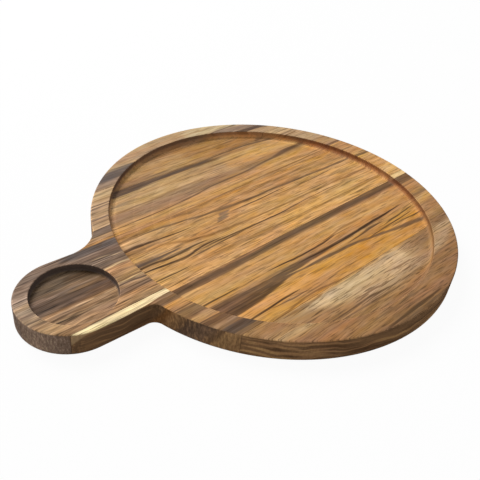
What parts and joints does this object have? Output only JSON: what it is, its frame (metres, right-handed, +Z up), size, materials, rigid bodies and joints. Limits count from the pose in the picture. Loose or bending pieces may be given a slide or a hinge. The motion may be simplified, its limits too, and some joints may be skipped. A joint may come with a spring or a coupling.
{
  "type": "serving board",
  "caption": "Round serving board of edge-glued wooden staves, with a shallow well in the plate and a short round-ended handle that holds a small round recess for a dip bowl.",
  "frame": {"origin": "middle of the round plate, on the underside that the board rests on", "axes": "+Z up out of the well, the handle along -X, +Y to the far side of the plate"},
  "size_m": [0.381, 0.305, 0.0185],
  "materials": {
    "tan_wood": "oiled, satin",
    "honey_wood": "oiled, satin",
    "brown_wood": "oiled, satin",
    "orange_wood": "oiled, satin",
    "pale_wood": "oiled, satin",
    "glue": "cured wood glue"
  },
  "bodies": {
    "root": {"stave_near_edge": "tan_wood", "stave_near": "honey_wood", "stave_centre": "brown_wood", "stave_far": "orange_wood", "stave_far_edge": "pale_wood", "glue_near_edge": "glue", "glue_near": "glue", "glue_far": "glue", "glue_far_edge": "glue"}
  },
  "joints": []
}
